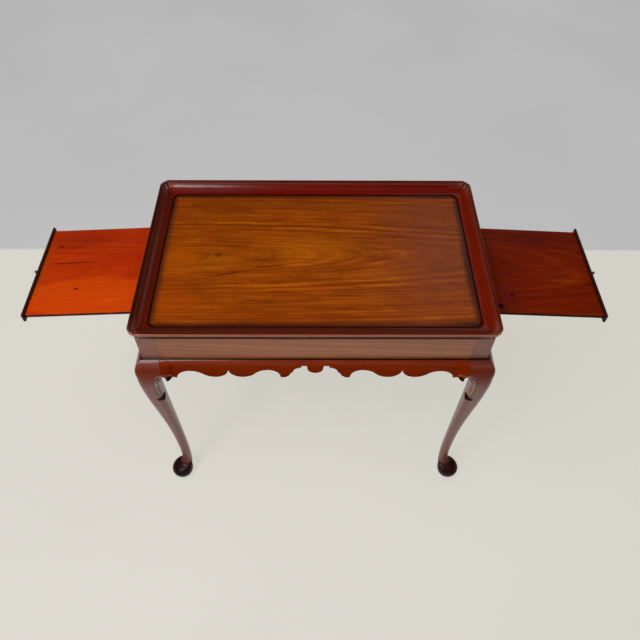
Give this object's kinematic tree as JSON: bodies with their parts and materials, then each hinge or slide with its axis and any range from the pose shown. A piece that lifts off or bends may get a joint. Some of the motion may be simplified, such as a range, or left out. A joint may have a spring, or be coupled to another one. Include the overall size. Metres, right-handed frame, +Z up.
{
  "type": "tray top tea table with candle slides",
  "caption": "Rectangular tea table with a moulded tray top, a scalloped skirt, slender cabriole legs on pad feet and a candle slide that pulls out of each end.",
  "frame": {"origin": "on the floor, under the middle of the table's top", "axes": "+X along the table's length, towards the right-hand slide; +Y from the front skirt to the back one; +Z up"},
  "size_m": [1.3094, 0.5216, 0.672],
  "materials": {
    "tray_board": "waxed old mahogany, figured, worn",
    "tray_rim": "dark waxed mahogany",
    "frame_wood": "waxed mahogany",
    "legs": "waxed mahogany, darker towards the feet",
    "left_slide": "polished mahogany, bright orange",
    "right_slide": "polished mahogany, brown",
    "slide_fronts": "very dark polished wood",
    "inner_wood": "unfinished aged secondary wood",
    "knobs": "tarnished brass",
    "screws": "dulled steel"
  },
  "bodies": {
    "frame": {"tray_field": "tray_board", "tray_rim_front": "tray_rim", "tray_rim_right": "tray_rim", "tray_rim_back": "tray_rim", "tray_rim_left": "tray_rim", "leg_front_left": "legs", "leg_front_right": "legs", "leg_back_right": "legs", "leg_back_left": "legs", "front_rail": "frame_wood", "back_rail": "frame_wood", "left_lower_rail": "frame_wood", "left_upper_rail": "frame_wood", "right_lower_rail": "frame_wood", "right_upper_rail": "frame_wood", "centre_cross_rail": "inner_wood", "front_skirt": "frame_wood", "front_top_glue_blocks": "inner_wood", "front_skirt_glue_blocks": "inner_wood", "front_knee_block_left": "frame_wood", "front_knee_block_right": "frame_wood", "right_skirt": "frame_wood", "right_top_glue_blocks": "inner_wood", "right_skirt_glue_blocks": "inner_wood", "right_knee_block_front": "frame_wood", "right_knee_block_back": "frame_wood", "back_skirt": "frame_wood", "back_top_glue_blocks": "inner_wood", "back_skirt_glue_blocks": "inner_wood", "back_knee_block_right": "frame_wood", "back_knee_block_left": "frame_wood", "left_skirt": "frame_wood", "left_top_glue_blocks": "inner_wood", "left_skirt_glue_blocks": "inner_wood", "left_knee_block_back": "frame_wood", "left_knee_block_front": "frame_wood", "left_slide_guide_front": "inner_wood", "left_slide_guide_back": "inner_wood", "right_slide_guide_front": "inner_wood", "right_slide_guide_back": "inner_wood"},
    "left_slide": {"left_slide_board": "left_slide", "left_slide_front": "slide_fronts", "left_slide_knob": "knobs", "left_slide_stop": "inner_wood", "left_stop_screws": "screws"},
    "right_slide": {"right_slide_board": "right_slide", "right_slide_front": "slide_fronts", "right_slide_knob": "knobs", "right_slide_stop": "inner_wood", "right_stop_screws": "screws"}
  },
  "joints": [
    {"name": "left_slide_travel", "type": "slide", "parent": "frame", "child": "left_slide", "axis": [-0.9984, 0, -0.0558], "range_m": [-0.268, 0]},
    {"name": "right_slide_travel", "type": "slide", "parent": "frame", "child": "right_slide", "axis": [0.9984, 0, -0.0558], "range_m": [-0.268, 0]}
  ]
}
